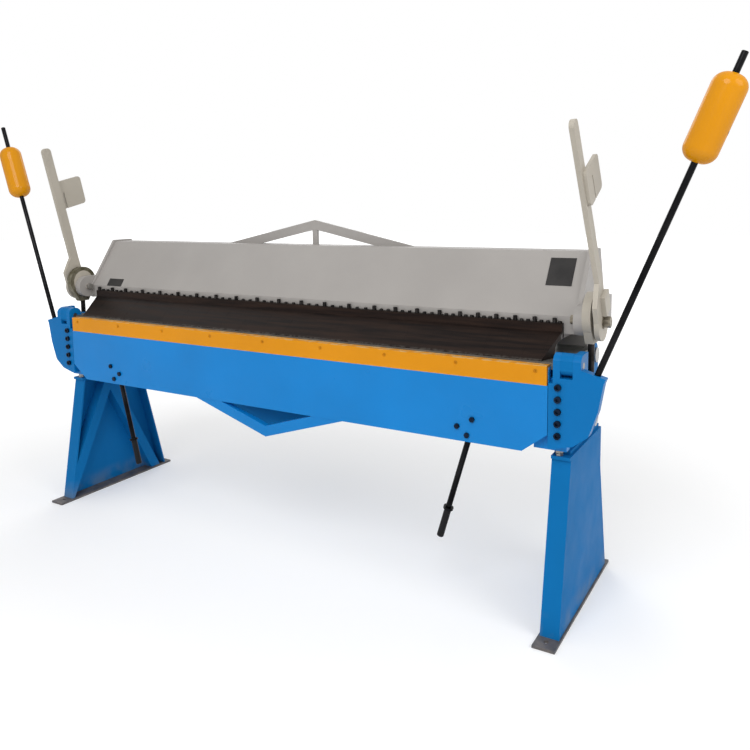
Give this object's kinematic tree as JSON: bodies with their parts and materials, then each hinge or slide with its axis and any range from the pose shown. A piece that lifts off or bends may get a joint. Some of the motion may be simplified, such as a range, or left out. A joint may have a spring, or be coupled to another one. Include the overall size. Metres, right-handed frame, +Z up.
{
  "type": "box and pan brake",
  "caption": "Floor-standing box and pan brake: hinged bending leaf with counterweights on rods, lifting clamping beam with a row of fingers, eccentric lever clamps, trusses and bolted legs.",
  "frame": {"origin": "on the floor, midway between the ends and midway between the foremost and rearmost points", "axes": "+X along the bend line to the operator's right, +Y to the rear of the machine, +Z up"},
  "size_m": [3.7187, 0.8066, 1.9913],
  "materials": {
    "blue_paint": "semi-gloss blue paint",
    "grey_paint": "satin warm grey paint",
    "lever_paint": "satin light grey paint",
    "yellow_paint": "satin yellow-orange paint",
    "amber_paint": "gloss amber paint",
    "black_steel": "blackened steel",
    "dark_steel": "dark bare steel",
    "bare_steel": "machined steel",
    "bronze": "dull bronze",
    "grip_black": "black plastic"
  },
  "bodies": {
    "frame": {"foot_plates": "dark_steel", "left_leg": "blue_paint", "right_leg": "blue_paint", "leg_ribs": "blue_paint", "stop_bolts": "black_steel", "left_end_frame": "blue_paint", "right_end_frame": "blue_paint", "bed_beam": "blue_paint", "bed_top_plate": "bare_steel", "bed_truss": "blue_paint", "hinge_brackets": "blue_paint", "hinge_pins": "bare_steel", "beam_pivot_pins": "bare_steel", "link_anchors": "blue_paint", "link_pins": "bare_steel", "frame_bolts": "black_steel"},
    "leaf": {"bending_leaf": "blue_paint", "leaf_end_blocks": "blue_paint", "left_wing": "blue_paint", "right_wing": "blue_paint", "wing_bolts": "black_steel", "leaf_truss": "blue_paint", "folding_strip": "yellow_paint", "strip_screws": "yellow_paint", "handle_brackets": "blue_paint", "handle_bolts": "black_steel", "handle_bars": "black_steel", "handle_grips": "grip_black", "left_weight_rod": "black_steel", "right_weight_rod": "black_steel"},
    "left_weight": {"left_counterweight": "amber_paint", "left_weight_screw": "black_steel"},
    "right_weight": {"right_counterweight": "amber_paint", "right_weight_screw": "black_steel"},
    "beam": {"beam_front_plate": "grey_paint", "beam_back_plate": "grey_paint", "beam_bottom_plate": "grey_paint", "left_beam_end": "grey_paint", "right_beam_end": "grey_paint", "pivot_arms": "grey_paint", "beam_truss": "grey_paint", "finger_clamp_bar": "black_steel", "wide_fingers": "black_steel", "medium_fingers": "black_steel", "narrow_fingers": "black_steel", "finger_bolts": "black_steel", "clamp_screws": "black_steel", "blank_plates": "bare_steel"},
    "left_lever_arm": {"left_lever": "lever_paint", "left_lever_pad": "lever_paint", "left_eccentric": "lever_paint", "left_shaft_bolt": "bronze"},
    "right_lever_arm": {"right_lever": "lever_paint", "right_lever_pad": "lever_paint", "right_eccentric": "lever_paint", "right_shaft_bolt": "bronze"},
    "left_link": {"left_link_head": "lever_paint", "left_link_rod": "black_steel"},
    "right_link": {"right_link_head": "lever_paint", "right_link_rod": "black_steel"}
  },
  "joints": [
    {"name": "leaf_fold", "type": "hinge", "parent": "frame", "child": "leaf", "pos_m": [0, -0.19071, 0.98], "axis": [-1, 0, 0], "range_deg": [0, 135]},
    {"name": "beam_lift", "type": "hinge", "parent": "frame", "child": "beam", "pos_m": [0, 0.20829, 0.94], "axis": [-1, 0, 0], "range_deg": [0, 5.8]},
    {"name": "left_weight_slide", "type": "slide", "parent": "leaf", "child": "left_weight", "axis": [-0.3674, 0.0421, 0.9291], "range_m": [-0.55, 0.11]},
    {"name": "right_weight_slide", "type": "slide", "parent": "leaf", "child": "right_weight", "axis": [0.3674, 0.0421, 0.9291], "range_m": [-0.606, 0.055]},
    {"name": "left_lever_swing", "type": "hinge", "parent": "beam", "child": "left_lever_arm", "pos_m": [-1.3805, -0.06871, 1.119], "axis": [-1, 0, 0], "range_deg": [0, 95.2]},
    {"name": "right_lever_swing", "type": "hinge", "parent": "beam", "child": "right_lever_arm", "pos_m": [1.3805, -0.06871, 1.119], "axis": [-1, 0, 0], "range_deg": [0, 95.2]},
    {"name": "left_link_turn", "type": "hinge", "parent": "left_lever_arm", "child": "left_link", "pos_m": [-1.3805, -0.06871, 1.144], "axis": [1, 0, 0], "range_deg": [0, 94.5]},
    {"name": "right_link_turn", "type": "hinge", "parent": "right_lever_arm", "child": "right_link", "pos_m": [1.3805, -0.06871, 1.144], "axis": [1, 0, 0], "range_deg": [0, 94.5]}
  ],
  "couplings": [
    {"joint": "left_lever_swing", "follows": "beam_lift", "ratio": 16.377},
    {"joint": "right_lever_swing", "follows": "beam_lift", "ratio": 16.377},
    {"joint": "left_link_turn", "follows": "beam_lift", "ratio": 16.211},
    {"joint": "right_link_turn", "follows": "beam_lift", "ratio": 16.211}
  ]
}
